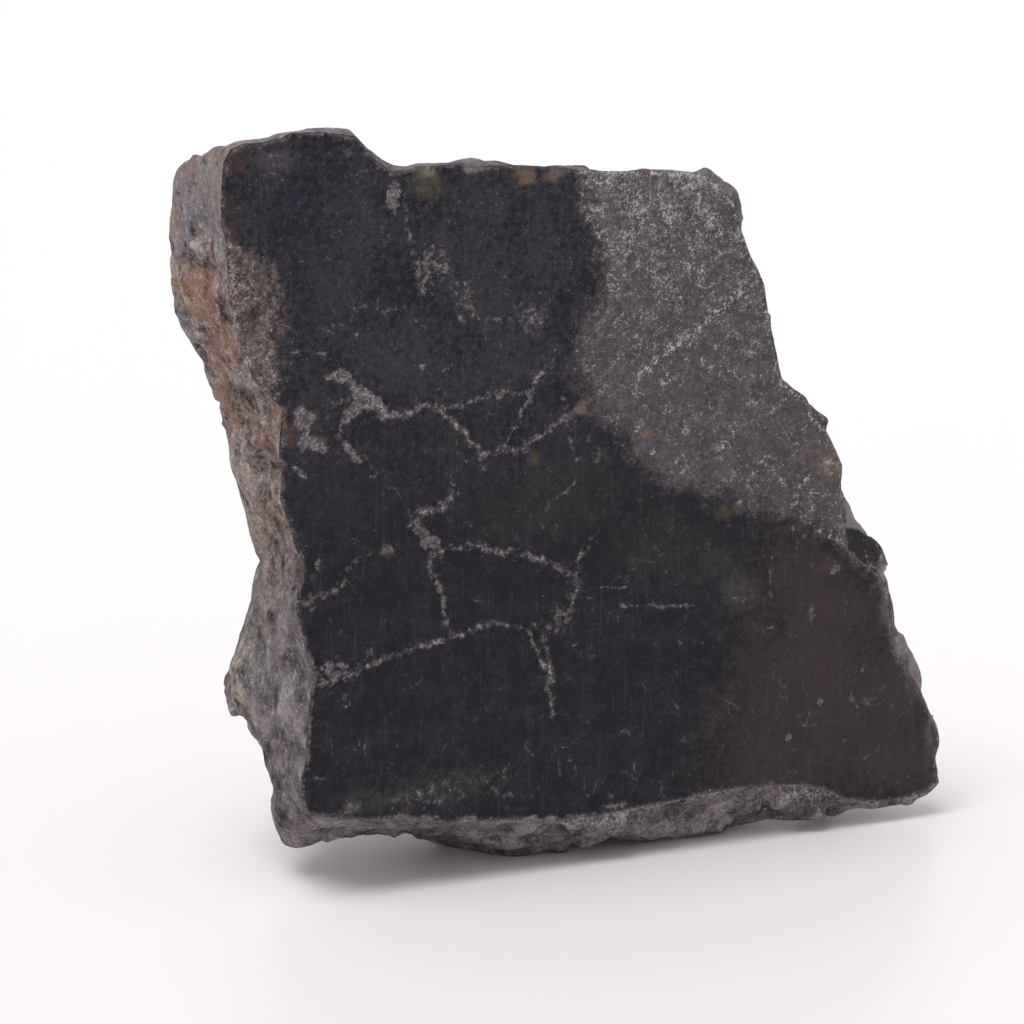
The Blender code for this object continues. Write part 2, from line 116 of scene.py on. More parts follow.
# Cracks of the face, healed with pale grains: width, strength, then points of their line
CRACKS = [
    (0.8, 0.9, [(20.3, 61.3), (24.4, 61.4), (26.0, 62.0), (28.6, 61.4)]),
    (0.7, 0.8, [(28.6, 61.4), (31.1, 58.5), (33.9, 55.5), (34.1, 53.5)]),
    (0.7, 0.9, [(28.6, 61.4), (31.4, 61.6), (34.6, 62.4), (36.4, 62.7), (40.7, 62.4)]),
    (0.6, 1.0, [(42.5, 65.2), (41.4, 64.1), (40.4, 61.4), (39.5, 60.1), (38.1, 57.7), (36.9, 55.5)]),
    (0.8, 0.8, [(34.1, 55.2), (36.9, 55.4), (38.8, 55.2), (40.7, 56.0), (43.2, 57.6), (47.0, 59.6)]),
    (1.3, 0.8, [(30.4, 50.4), (27.8, 48.8), (25.3, 48.5), (24.4, 47.6), (26.4, 45.6), (27.6, 43.3)]),
    (0.9, 0.8, [(27.6, 43.3), (29.4, 43.9), (34.1, 43.5), (36.0, 42.6), (39.9, 42.0), (45.8, 38.8)]),
    (0.7, 0.9, [(26.8, 42.2), (27.1, 41.0), (28.8, 37.6), (29.1, 34.0)]),
    (1.4, 0.6, [(49.0, 42.6), (47.1, 40.3), (46.8, 36.7), (45.7, 33.8), (45.0, 31.6), (42.6, 32.3)]),
    (0.6, 0.6, [(44.7, 62.5), (45.4, 59.8), (45.8, 56.3), (47.0, 53.1)]),
    (0.6, 0.6, [(46.6, 50.2), (42.5, 47.3)]),
    (0.5, 0.8, [(48.4, 56.0), (48.3, 54.7)]),
    (0.5, 0.8, [(50.1, 54.4), (49.6, 52.9)]),
    (0.5, 0.7, [(15.5, 66.8), (16.8, 65.8), (18.6, 64.0), (20.9, 61.8), (20.3, 61.3)]),
    (0.5, 0.6, [(17.6, 63.3), (15.4, 60.9), (14.8, 59.6), (15.8, 58.2), (17.6, 55.8)]),
    (0.6, 0.8, [(8.8, 56.1), (10.4, 54.8)]),
    (0.7, 0.7, [(12.1, 44.1), (11.5, 41.6)]),
    (0.9, 0.6, [(19.1, 44.3), (15.5, 42.6), (14.2, 40.6)]),
    (1.2, 0.7, [(9.5, 38.6), (11.1, 39.5), (13.6, 40.1), (15.9, 41.1)]),
    (0.8, 0.9, [(14.9, 28.8), (20.6, 30.5), (23.7, 31.4), (26.7, 31.8), (31.7, 32.8), (35.7, 33.4)]),
    (0.5, 0.7, [(35.7, 33.4), (39.1, 32.6), (42.1, 32.4)]),
    (0.6, 0.9, [(40.5, 31.8), (40.9, 30.2), (42.4, 26.9), (43.1, 27.5)]),
    (0.8, 0.9, [(42.1, 30.7), (43.1, 27.5), (43.5, 25.3), (42.8, 24.4), (43.5, 22.5), (43.7, 20.4)]),
    (0.4, 0.7, [(48.7, 36.5), (53.6, 36.2)]),
    (0.4, 0.7, [(53.1, 33.7), (63.2, 32.6)]),
    (0.5, 0.7, [(55.6, 47.1), (57.3, 47.3)]),
    (0.6, 0.5, [(44.5, 14.5), (44.8, 11.5)]),
    (0.5, 0.8, [(35.2, 12.3), (36.4, 11.1), (38.1, 11.0)]),
    (0.4, 0.6, [(74.1, 36.0), (74.2, 32.4)]),
    (0.4, 0.6, [(74.9, 23.7), (74.9, 21.6)]),
    (0.5, 0.6, [(23.8, 88.3), (23.9, 85.2), (24.7, 80.5), (25.4, 75.9)]),
    (0.6, 0.5, [(33.4, 72.3), (41.8, 71.3)]),
    (0.5, 0.6, [(16.8, 75.0), (19.6, 75.1), (20.8, 74.1), (24.5, 74.7)]),
    (0.4, 0.5, [(16.4, 74.4), (17.3, 70.5)]),
    (1.0, 0.8, [(55.5, 63.1), (59.7, 65.9), (63.8, 68.7), (69.4, 72.7)]),
    (0.8, 0.9, [(79.4, 47.9), (78.3, 46.8), (77.6, 44.2), (80.5, 40.9), (85.2, 37.9)]),
    (0.5, 0.9, [(80.0, 30.9), (80.4, 30.0), (79.9, 28.9)]),
    (0.4, 0.9, [(73.5, 28.7), (74.4, 28.6)]),
]

# Cloudy pale patches of the face: x, z, half width, half height, strength
PATCHES = [
    (40.8, 71.5, 2.2, 2.8, 0.4), (14.0, 29.6, 4.2, 2.4, 0.5),
    (27.0, 44.8, 2.0, 1.4, 0.7), (21.3, 44.4, 1.4, 1.0, 0.5), (44.9, 33.8, 2.6, 1.8, 0.45),
    (26.0, 67.0, 0.5, 0.6, 0.9), (28.8, 37.7, 0.6, 0.4, 1.0),
    (12.9, 69.8, 1.3, 0.5, 0.7), (36.0, 62.3, 0.7, 0.4, 0.7), (9.3, 70.4, 1.0, 0.4, 0.7),
    (35.3, 13.8, 5.0, 1.8, 0.3), (27.3, 12.4, 8.0, 2.2, 0.35), (16.0, 11.8, 4.0, 1.5, 0.35),
    (77.0, 13.6, 0.7, 0.7, 0.8), (81.6, 17.6, 0.9, 0.6, 0.7), (87.7, 21.3, 0.5, 0.4, 0.8),
    (83.5, 35.0, 1.1, 0.8, 0.7), (74.4, 37.8, 0.5, 2.0, 0.3), (53.4, 37.2, 1.6, 1.0, 0.4),
    (22.3, 88.4, 1.2, 2.6, 0.8), (31.8, 8.2, 1.8, 0.9, 1.0), (40.6, 7.2, 2.2, 0.8, 0.9),
    (46.3, 6.7, 2.4, 0.7, 0.9), (52.5, 7.6, 3.0, 0.6, 0.7), (26.4, 9.4, 2.4, 0.7, 0.7),
    (1.6, 50.0, 1.8, 5.0, 0.5), (4.6, 41.5, 2.0, 4.0, 0.6), (9.2, 33.5, 1.6, 3.0, 0.6),
]

# Worn wedges between the cracks, where the grains lie bare: strength, then their outline
WEDGES = [
    (1.0, [(13.5, 66.9), (15.1, 67.5), (16.4, 66.9), (16.6, 65.8), (15.3, 66.1)]),
    (0.9, [
        (16.6, 65.8), (17.9, 65.2), (19.3, 64.2), (20.6, 63.0), (21.4, 61.7), (20.6, 61.2), (19.5, 62.4),
        (18.2, 62.5), (17.1, 63.6), (16.8, 64.6),
    ]),
    (0.8, [(17.1, 63.4), (18.2, 62.8), (17.1, 61.9), (15.7, 60.8), (15.0, 61.1), (15.8, 62.3)]),
    (0.8, [(15.3, 58.7), (16.3, 58.1), (17.6, 56.2), (17.9, 55.7), (16.6, 56.2), (15.8, 57.3)]),
    (0.9, [(9.4, 63.5), (10.3, 63.0), (12.1, 61.9), (11.1, 60.9), (9.8, 60.6), (9.0, 61.7)]),
    (0.8, [
        (9.8, 60.1), (10.8, 60.3), (12.1, 59.0), (13.3, 58.0), (12.6, 57.5), (10.8, 58.3), (10.0, 57.9),
        (9.5, 58.9),
    ]),
    (0.4, [(24.5, 81.1), (28.8, 81.6), (29.7, 78.6), (27.8, 76.9), (27.8, 75.8), (25.7, 75.7)]),
    (0.4, [(29.4, 77.1), (31.3, 77.8), (32.6, 76.1), (33.2, 72.3), (30.7, 72.1), (30.2, 74.8)]),
]

# Stains, and glows of painted sheen: x, z, half width, half height, colour, strength
STAINS_AND_SHEEN = [
    (2.2, 94.2, 1.7, 1.9, (0.045, 0.022, 0.016), 0.8),  # dark red-brown corner
    (6.5, 93.6, 3.4, 2.0, (0.060, 0.052, 0.060), 0.6),  # grey-blue corner
    # Painted sheen: faint blue glows of labradorescence
    (8.9, 88.2, 2.2, 2.0, (0.016, 0.020, 0.045), 0.7),  # faint blue glow
    (9.4, 83.0, 3.0, 3.2, (0.014, 0.018, 0.034), 0.5),
    (26.7, 89.7, 2.7, 2.3, (0.075, 0.070, 0.048), 0.6),  # olive
    (26.9, 91.0, 1.2, 0.7, (0.210, 0.180, 0.100), 0.7),
    (32.8, 91.0, 1.9, 0.8, (0.200, 0.180, 0.170), 0.7),  # pale chip
    (40.0, 89.6, 1.9, 1.4, (0.170, 0.110, 0.070), 0.7),  # orange
    (43.5, 89.2, 1.9, 1.1, (0.190, 0.130, 0.120), 0.6),  # pinkish
    (47.4, 59.9, 1.1, 1.1, (0.190, 0.135, 0.095), 0.8),  # tan
    (56.3, 55.6, 0.9, 0.9, (0.200, 0.125, 0.085), 0.7),
    (30.6, 58.6, 1.5, 1.3, (0.045, 0.042, 0.022), 0.7),
    (41.1, 53.7, 1.0, 1.2, (0.075, 0.052, 0.032), 0.8),
    (66.0, 53.1, 0.8, 0.8, (0.200, 0.160, 0.100), 0.6),  # gold specks
    # Painted sheen: olive-grey glows of labradorescence
    (69.8, 33.8, 3.4, 3.4, (0.056, 0.053, 0.045), 0.7),  # olive-grey glow
    (67.0, 37.4, 4.5, 2.6, (0.036, 0.036, 0.027), 0.55),
    (67.9, 44.4, 2.4, 1.3, (0.070, 0.062, 0.040), 0.55),
    (59.0, 41.0, 7.5, 5.0, (0.024, 0.025, 0.018), 0.5),  # greenish cloud
    (45.0, 48.5, 8.0, 5.0, (0.022, 0.023, 0.017), 0.45),
    (37.5, 46.5, 6.0, 4.0, (0.020, 0.021, 0.018), 0.4),
    (82.2, 35.8, 1.8, 1.4, (0.065, 0.042, 0.032), 0.6),
    (91.0, 29.5, 1.2, 3.4, (0.120, 0.095, 0.080), 0.5),  # pale worn right edge
    (94.6, 21.0, 1.0, 4.0, (0.130, 0.105, 0.090), 0.5),
    (98.0, 12.0, 1.0, 5.0, (0.120, 0.100, 0.092), 0.5),
    (83.0, 48.6, 2.2, 2.0, (0.220, 0.160, 0.110), 0.65),  # tan by the right edge
    (80.5, 51.2, 2.6, 2.6, (0.120, 0.085, 0.065), 0.4),
    (93.0, 23.6, 1.7, 2.4, (0.070, 0.045, 0.034), 0.6),
    (96.0, 17.4, 1.8, 2.0, (0.070, 0.042, 0.034), 0.6),
    (28.5, 13.2, 9.0, 2.6, (0.036, 0.038, 0.036), 0.55),  # cloudy pale band
    (18.0, 12.6, 5.0, 2.0, (0.040, 0.041, 0.034), 0.55),
    (16.3, 12.1, 1.0, 0.9, (0.110, 0.098, 0.056), 0.5),
    (11.5, 11.4, 1.3, 0.9, (0.085, 0.120, 0.090), 0.8),  # green mineral
    (4.1, 75.5, 0.8, 1.2, (0.020, 0.018, 0.009), 0.9),
    (3.6, 66.6, 1.3, 1.5, (0.260, 0.150, 0.070), 0.75),  # orange by the crust
    (6.1, 61.0, 1.4, 3.2, (0.150, 0.082, 0.045), 0.75),
    (8.0, 60.2, 1.6, 1.6, (0.110, 0.060, 0.040), 0.6),
    (0.9, 86.5, 1.0, 4.0, (0.060, 0.032, 0.022), 0.6),
    (21.3, 44.3, 1.1, 0.9, (0.110, 0.110, 0.060), 0.6),
    (10.6, 62.0, 1.6, 1.3, (0.150, 0.105, 0.090), 0.5),  # brown tinge of two wedges
    (11.4, 58.9, 1.9, 1.0, (0.150, 0.105, 0.090), 0.5),
    (31.9, 8.3, 1.5, 0.7, (0.420, 0.360, 0.330), 0.8),  # tan blobs on the lower rim
    (40.4, 7.2, 1.2, 0.6, (0.400, 0.330, 0.290), 0.7),
    (43.3, 7.0, 1.0, 0.6, (0.360, 0.300, 0.230), 0.7),
]

CRUST_STAINED = 22.0  # the crust's stains reach this far to the right

# Stains of the crust down the left side: depth, z, half depth, half height, colour, strength
CRUST_STAINS = [
    (7.0, 71.5, 3.2, 3.0, (0.360, 0.225, 0.130), 0.7),  # orange-tan
    (4.5, 68.5, 2.4, 2.4, (0.330, 0.190, 0.110), 0.6),
    (10.5, 75.4, 2.2, 1.3, (0.420, 0.310, 0.220), 0.7),  # tan lump
    (11.0, 82.5, 2.0, 5.0, (0.130, 0.135, 0.160), 0.6),  # blue-grey
    (13.5, 85.0, 1.6, 4.5, (0.260, 0.185, 0.130), 0.4),
    (2.2, 78.5, 2.4, 2.2, (0.200, 0.110, 0.085), 0.5),  # red-brown
    (9.0, 68.5, 1.6, 1.6, (0.050, 0.035, 0.035), 0.6),
    (1.5, 63.0, 2.4, 2.6, (0.330, 0.180, 0.085), 0.7),  # orange
    (3.0, 57.2, 1.8, 4.0, (0.210, 0.125, 0.075), 0.7),
    (6.0, 52.0, 2.2, 6.0, (0.200, 0.200, 0.215), 0.5),  # grey streak
    (12.0, 47.0, 4.0, 6.0, (0.290, 0.235, 0.190), 0.5),
    (19.0, 27.0, 3.4, 9.0, (0.380, 0.330, 0.270), 0.65),  # pale tan rim of the bulge
    (14.0, 36.0, 3.0, 4.0, (0.300, 0.250, 0.200), 0.5),
    (17.0, 22.0, 4.0, 1.5, (0.300, 0.225, 0.150), 0.4),
]

# Border of the matte patch in the face's upper right, from the top edge to the right edge
MATTE_BORDER = [
    (47.4, 93.0), (48.6, 84.5), (49.9, 80.6), (50.6, 76.8), (50.0, 74.4), (48.6, 70.7), (47.2, 68.3),
    (46.6, 64.6), (48.7, 60.6), (53.5, 55.0), (58.4, 49.4), (66.2, 46.7), (72.6, 44.1), (78.3, 42.1),
    (84.9, 37.8), (90.0, 33.0), (110.0, 40.0), (110.0, 110.0), (48.0, 110.0),
]

# The dark brown zone of the lower right
BROWN_BORDER = [
    (74.0, 42.6), (70.6, 29.9), (67.2, 18.4), (63.0, 2.0), (110.0, 0.0), (110.0, 36.0), (84.0, 38.0),
]

# The unpolished strip along the face's left edge
UNPOLISHED_BORDER = [
    (-3.0, 85.0), (3.6, 84.0), (6.1, 81.6), (8.0, 76.8), (7.8, 71.9), (8.0, 68.2), (6.5, 64.6),
    (7.0, 60.0), (7.6, 56.5), (-3.0, 54.0),
]

# Shallow chips of the face: x, z, half width, half height, depth
CHIPS = [
    (22.2, 89.6, 1.6, 2.0, 0.30), (81.8, 44.2, 3.8, 4.4, 0.35), (88.2, 37.2, 3.2, 3.2, 0.35),
    (77.2, 59.0, 1.7, 1.4, 0.30), (24.0, 10.2, 1.6, 1.0, 0.25), (32.8, 91.3, 2.0, 0.9, 0.25),
    (4.1, 75.5, 0.7, 1.0, 0.35), (3.6, 66.6, 1.4, 1.6, 0.25), (6.2, 61.0, 1.2, 2.8, 0.30),
    (13.1, 37.0, 1.4, 1.0, 0.20), (10.8, 62.0, 1.5, 1.5, 0.12), (28.8, 37.7, 0.6, 0.4, 0.15),
    (98.6, 4.6, 1.6, 1.6, 0.20),
]


def smooth(low, high, value):
    """0 below low, 1 above high, smooth between."""
    share = np.clip((value - low) / (high - low), 0.0, 1.0)
    return share * share * (3.0 - 2.0 * share)


def noise_over(points, size, seed=0.0):
    """Noise from -1 to 1 at each point in millimetres, with features of the given size."""
    shift = Vector((seed, 1.7 * seed, -seed))
    return np.array([noise.noise(Vector(point) / size + shift) for point in points])


def distance_to_line(spots, line, closed=False, reach=None):
    """Distance of each (x, z) from a line of points in millimetres, endless beyond the reach."""
    corners = np.array(line + line[:1] if closed else line, float)
    nearest = np.full(len(spots), np.inf)
    near = np.ones(len(spots), bool)
    if reach:
        near = np.all((spots > corners.min(0) - reach) & (spots < corners.max(0) + reach), axis=1)
    close = spots[near]
    shortest = nearest[near]
    for start, end in zip(corners, corners[1:]):
        along = end - start
        share = np.clip(((close - start) @ along) / max(along @ along, 1e-9), 0.0, 1.0)
        away = np.linalg.norm(close - start - share[:, None] * along, axis=1)
        shortest = np.minimum(shortest, away)
    nearest[near] = shortest
    return nearest


def inside(spots, outline):
    """Which of the (x, z) lie inside a closed outline."""
    corners = np.array(outline, float)
    crossed = np.zeros(len(spots), bool)
    for start, end in zip(corners, np.roll(corners, -1, axis=0)):
        spans = (start[1] > spots[:, 1]) != (end[1] > spots[:, 1])
        if start[1] != end[1]:
            reach = start[0] + (spots[:, 1] - start[1]) / (end[1] - start[1]) * (end[0] - start[0])
            crossed ^= spans & (spots[:, 0] < reach)
    return crossed


def depth_inside(spots, outline):
    """Distance from an outline, positive inside it and negative outside."""
    away = distance_to_line(spots, outline, closed=True)
    return np.where(inside(spots, outline), away, -away)


def soft_disc(spots, x, z, half_width, half_height, ragged):
    """1 in the middle of an ellipse, fading to 0 at its ragged edge."""
    away = np.hypot((spots[:, 0] - x) / half_width, (spots[:, 1] - z) / half_height)
    return 1.0 - smooth(0.35, 1.15, away + ragged)


def wandering(line):
    """A crack's line in short steps, straying to either side as a crack does."""
    spots = []
    for start, end in zip(line, line[1:]):
        count = max(1, round(math.dist(start, end) / CRACK_STEP))
        spots += [Vector(start).lerp(Vector(end), i / count) for i in range(count)]
    spots.append(Vector(line[-1]))
    strayed = []
    for spot in spots:
        push = noise.noise_vector(Vector((spot.x / 1.3, 0.0, spot.y / 1.3)))
        strayed.append((spot.x + CRACK_WANDER * push.x, spot.y + CRACK_WANDER * push.y))
    return strayed


def add_camera(face_left, face_y):
    target = Vector((face_left + VIEW_TARGET[0] * MM, face_y, VIEW_TARGET[1] * MM))
    back = Vector(
        (
            math.sin(VIEW_AZIMUTH) * math.cos(VIEW_HEIGHT),
            -math.cos(VIEW_AZIMUTH) * math.cos(VIEW_HEIGHT),
            math.sin(VIEW_HEIGHT),
        )
    )
    lens = bpy.data.cameras.new("camera")
    lens.lens = VIEW_LENS
    lens.sensor_width = VIEW_SENSOR
    lens.clip_start = 0.01
    camera = bpy.data.objects.new("camera", lens)
    camera.location = target + VIEW_DISTANCE * back
    camera.rotation_euler = back.to_track_quat("Z", "Y").to_euler()
    bpy.context.scene.collection.objects.link(camera)
    bpy.context.scene.camera = camera


def sawn_faces(shape, front):
    """The flat triangles of the sawn face, which is the stone's front."""
    limit = front + NEAR_FACE * MM
    return [f for f in shape.faces if f.normal.y < -0.999 and f.calc_center_median().y < limit]


def edge_loop(shape):
    """The open edge round the missing sawn face, as verts in order."""
    open_edges = [edge for edge in shape.edges if edge.is_boundary]
    following = {}
    for edge in open_edges:
        for vert in edge.verts:
            following.setdefault(vert, []).append(edge)
    vert = open_edges[0].verts[0]
    edge = open_edges[0]
    loop = []
    while not loop or vert is not loop[0]:
        loop.append(vert)
        vert = edge.other_vert(vert)
        edge = next(other for other in following[vert] if other is not edge)
    return loop


def close_face(shape, face_left, front):
    """Fills the open loop with a fine grid and points along every crack, and gives its outline."""
    loop = edge_loop(shape)
    spots = [Vector(((vert.co.x - face_left) / MM, vert.co.z / MM)) for vert in loop]
    outline = [tuple(spot) for spot in spots]
    row_height = GRID_STEP * math.sqrt(0.75)
    width = max(spot.x for spot in spots)
    height = max(spot.y for spot in spots)
    grid = []
    for row in range(int(height / row_height) + 1):
        for column in range(int(width / GRID_STEP) + 1):
            grid.append(((column + 0.5 * (row % 2)) * GRID_STEP, row * row_height))
    grid = np.array(grid)
    on_cracks = np.array([spot for _, _, line in CRACKS for spot in wandering(line)])
    clear = np.ones(len(grid), bool)
    for spot in on_cracks:
        clear &= np.linalg.norm(grid - spot, axis=1) > 0.5 * CRACK_STEP
    inner = np.concatenate([grid[clear], on_cracks])
    inner = inner[depth_inside(inner, outline) > EDGE_GAP]
    points = spots + [Vector(spot) for spot in inner]
    ring = [(i, (i + 1) % len(loop)) for i in range(len(loop))]
    found, _, triangles, sources, _, _ = geometry.delaunay_2d_cdt(points, ring, [], 1, 1e-5)
    verts = []
    for spot, source in zip(found, sources):
        if source and source[0] < len(loop):
            verts.append(loop[source[0]])
        else:
            verts.append(shape.verts.new((face_left + spot.x * MM, front, spot.y * MM)))
    made = []
    for corners in triangles:
        made.append(shape.faces.new([verts[i] for i in corners]))
    for face in made:
        face.normal_update()
    if sum(face.normal.y for face in made) > 0.0:
        bmesh.ops.reverse_faces(shape, faces=made)
    return outline


def chipped(points, size, step_width, seed, tall=1.0):
    """Height of flat tilted chips that meet in steps, from about -0.5 to 0.5, and a tone for each."""
    heights = np.empty(len(points))
    tones = np.empty(len(points))
    middle = Vector((0.5, 0.5, 0.5))
    for i, point in enumerate(points / (size * np.array([1.0, 1.0, tall])) + seed):
        spot = Vector(point)
        distances, centres = noise.voronoi(spot)
        own_draw, next_draw = [noise.cell_vector(centre) - middle for centre in centres[:2]]
        own_level = own_draw.x + 0.9 * (spot - centres[0]).dot(own_draw)
        next_level = next_draw.x + 0.9 * (spot - centres[1]).dot(next_draw)
        own = 0.5 + 0.5 * min((distances[1] - distances[0]) * size / step_width, 1.0)
        heights[i] = own * own_level + (1.0 - own) * next_level
        tones[i] = own_draw.y
    return heights, tones


def fracture_relief(points, crust):
    """Relief of the broken rock in millimetres, its fine part, which the colour reads for painted shade
    in the hollows, and its facets' tones.
    """
    broad = 0.14 * noise_over(points, 4.0) + 0.07 * noise_over(points, 1.5, 5.0)
    steps, facets = chipped(points, 8.5, 0.5, 3.1)
    chips, flakes = chipped(points, 3.2, 0.3, 8.3)
    ledges, _ = chipped(points, 4.2, 0.4, 11.7, tall=1.5)
    splinters, _ = chipped(points, 1.5, 0.3, 23.4, tall=1.6)
    ribs = noise_over(points * np.array([1.0, 1.0, 0.25]), 1.6, 9.0)
    grains = noise_over(points, 0.8, 3.0)
    low = 1.0 - smooth(36.0, 52.0, points[:, 2])
    calm = 1.0 - 0.65 * smooth(84.0, 91.0, points[:, 2])
    torn = smooth(-0.1, 0.35, noise_over(points, 11.0, 6.0))
    fine = 0.20 * splinters * (0.4 + crust * (0.3 + 1.2 * torn)) * (1.0 - 0.4 * low)
    fine += 0.12 * ribs * crust * (1.0 - 0.8 * low)
    fine += grains * (0.04 + 0.04 * crust)
    fresh = 1.0 - crust
    coarse = (1.5 * steps + 0.45 * chips) * fresh + (0.33 + 0.38 * torn) * ledges * crust + broad
    hollows = fine + 0.25 * chips * fresh + 0.16 * ledges * crust
    return (coarse + fine) * calm, hollows, (facets + 0.6 * flakes) * fresh


def face_drop(spots, inset, points):
    """How far the sawn face is worn back at each of its points, in millimetres."""
    rough = smooth(-0.8, 0.8, depth_inside(spots, UNPOLISHED_BORDER))
    wavy = noise_over(points, 1.6, 2.0)
    left = 1.0 - smooth(6.0, 22.0, spots[:, 0])
    worn = 0.34 * left * (1.0 - smooth(0.0, 1.5, inset + 0.5 * wavy))
    nicked = 0.14 * (1.0 - smooth(0.0, 0.9, inset + 0.5 * wavy))
    flaked, _ = chipped(points, 1.6, 0.3, 5.2)
    grainy = rough * (0.14 + 0.22 * flaked + 0.06 * wavy)
    drop = np.maximum(worn, nicked) + np.maximum(grainy, 0.0)
    for x, z, half_width, half_height, depth in CHIPS:
        drop += depth * soft_disc(spots, x, z, half_width, half_height, 0.25 * wavy)
    return drop


def in_fine_zone(place, face_left, front):
    """Whether a place is on the crust at the left, or on the lip of broken rock under the face."""
    x, depth, z = (place.x - face_left) / MM, (place.y - front) / MM, place.z / MM
    if x < FINE_LEFT:
        return depth < FINE_DEPTH
    return z < FINE_LOW and depth < 0.5 * FINE_DEPTH


def soften(shape, verts, times):
    for _ in range(times):
        bmesh.ops.smooth_vert(
            shape, verts=verts, factor=0.5, use_axis_x=True, use_axis_y=True, use_axis_z=True
        )


def dress_stone():
    """The stone's own mesh, refined, with its fine relief and the marks that its finish reads."""
    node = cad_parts[STONE]
    low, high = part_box(STONE)
    shape = bmesh.new()
    shape.from_mesh(node.data)
    bmesh.ops.remove_doubles(shape, verts=shape.verts[:], dist=0.002 * MM)
    shape.normal_update()
    flat = sawn_faces(shape, low.y)
    face_left = min(vert.co.x for face in flat for vert in face.verts)
    front = min(vert.co.y for face in flat for vert in face.verts)
    bmesh.ops.delete(shape, geom=flat, context="FACES")
    bmesh.ops.subdivide_edges(shape, edges=shape.edges[:], cuts=SIDE_CUTS, use_grid_fill=True)
    fine = [
        edge for edge in shape.edges if all(in_fine_zone(v.co, face_left, front) for v in edge.verts)
    ]
    bmesh.ops.subdivide_edges(shape, edges=fine, cuts=1, use_grid_fill=True)
    bmesh.ops.triangulate(shape, faces=shape.faces[:])
    loose = [v for v in shape.verts if not v.is_boundary and v.co.z > NEAR_FACE * MM]
    soften(shape, loose, SOFTENED)
    right = face_left + CORNER_WIDTH * MM
    corner = [v for v in loose if v.co.z > CORNER_LEVEL * MM and v.co.x < right]
    soften(shape, corner, CORNER_SOFTENED)
    outline = close_face(shape, face_left, front)
    shape.normal_update()
    mesh = bpy.data.meshes.new("dressed_stone")
    shape.to_mesh(mesh)
    shape.free()

    count = len(mesh.vertices)
    points = np.empty(count * 3)
    mesh.vertices.foreach_get("co", points)
    points = points.reshape(-1, 3)
    normals = np.array([tuple(v.normal) for v in mesh.vertices])
    points = (points - np.array([face_left, front, 0.0])) / MM
    spots = points[:, [0, 2]]
    on_face = points[:, 1] < 0.02
    inset = np.empty(count)
    inset[on_face] = depth_inside(spots[on_face], outline)
    inset[~on_face] = -np.maximum(points[~on_face, 1], 0.02)
    inset[np.abs(inset) < 0.01] = 0.0

    crust = 1.0 - smooth(16.0, 30.0, points[:, 0] + 0.1 * (points[:, 2] - 50.0))
    side = ~on_face
    held = smooth(0.0, 1.2, points[:, 1]) * smooth(0.0, 0.6, points[:, 2])
    moved = np.zeros((count, 3))
    rise, hollows, facets = fracture_relief(points[side], crust[side])
    relief = np.zeros(count)
    relief[side] = hollows
    facet = np.zeros(count)
    facet[side] = facets
    moved[side] = normals[side] * (rise * held[side])[:, None]
    drop = face_drop(spots[on_face], inset[on_face], points[on_face])
    moved[on_face, 1] += drop
    points = points + moved

    ragged = 0.3 * noise_over(points, 1.1, 7.0) + 0.3 * noise_over(points, 0.5, 8.0)
    blotched = ragged + 0.4 * noise_over(points, 2.6, 9.5)
    marks = face_marks(spots, on_face, ragged)
    marks["inset"] = inset
    marks["crust"] = np.where(on_face, 0.0, crust)
    marks["relief"] = relief
    marks["facet"] = facet
    for name, values in marks.items():
        layer = mesh.attributes.new(name, "FLOAT", "POINT")
        layer.data.foreach_set("value", values.astype(np.float32))
    layer = mesh.attributes.new("stain_and_sheen", "FLOAT_COLOR", "POINT")
    layer.data.foreach_set("color", stains_and_sheen(points, on_face, blotched).astype(np.float32).ravel())

    placed = points * MM + np.array([face_left, front, 0.0])
    placed = np.clip(placed, np.array(low), np.array(high))
    mesh.vertices.foreach_set("co", placed.ravel())
    mesh.update()
    for polygon in mesh.polygons:
        polygon.use_smooth = True
    stone = bpy.data.objects.new("dressed_stone", mesh)
    bpy.context.scene.collection.objects.link(stone)
    return stone, face_left, front


def face_marks(spots, on_face, ragged):
    """Masks and distances over the sawn face that its finish reads."""
    inner = spots[on_face]
    rough = ragged[on_face]
    crack = np.zeros(len(inner))
    patch = np.zeros(len(inner))
    for width, strength, line in CRACKS:
        away = distance_to_line(inner, wandering(line), reach=width)
        crack = np.maximum(crack, strength * np.clip(1.0 - away / width, 0.0, 1.0))
    for x, z, half_width, half_height, strength in PATCHES:
        patch = np.maximum(patch, strength * soft_disc(inner, x, z, half_width, half_height, rough))
    for strength, wedge in WEDGES:
        cover = smooth(-0.5, 0.2, depth_inside(inner, wedge) + 0.5 * rough)
        patch = np.maximum(patch, strength * cover)
    marks = {}
    for name, values in (("crack", crack), ("patch", patch)):
        marks[name] = np.zeros(len(spots))
        marks[name][on_face] = values
    for name, border in (
        ("matte", MATTE_BORDER),
        ("brown", BROWN_BORDER),
        ("unpolished", UNPOLISHED_BORDER),
    ):
        marks[name] = np.full(len(spots), -9.0)
        marks[name][on_face] = np.clip(depth_inside(inner, border), -9.0, 9.0)
    return marks


def stains_and_sheen(points, on_face, ragged):
    """Colour of the stains and of the painted sheen at each point, with their strength as alpha."""
    painted = np.zeros((len(points), 4))
    on_crust = ~on_face & (points[:, 0] < CRUST_STAINED)
    for listed, across, side in ((STAINS_AND_SHEEN, 0, on_face), (CRUST_STAINS, 1, on_crust)):
        spots = points[side][:, [across, 2]]
        rough = ragged[side]
        for x, z, half_width, half_height, colour, strength in listed:
            cover = strength * soft_disc(spots, x, z, half_width, half_height, rough)
            old = painted[side]
            total = np.maximum(old[:, 3] + cover * (1.0 - old[:, 3]), 1e-6)
            kept = old[:, 3] * (1.0 - cover)
            mixed = (old[:, :3] * kept[:, None] + np.array(colour) * cover[:, None]) / total[:, None]
            painted[side] = np.column_stack([mixed, total])
    return painted


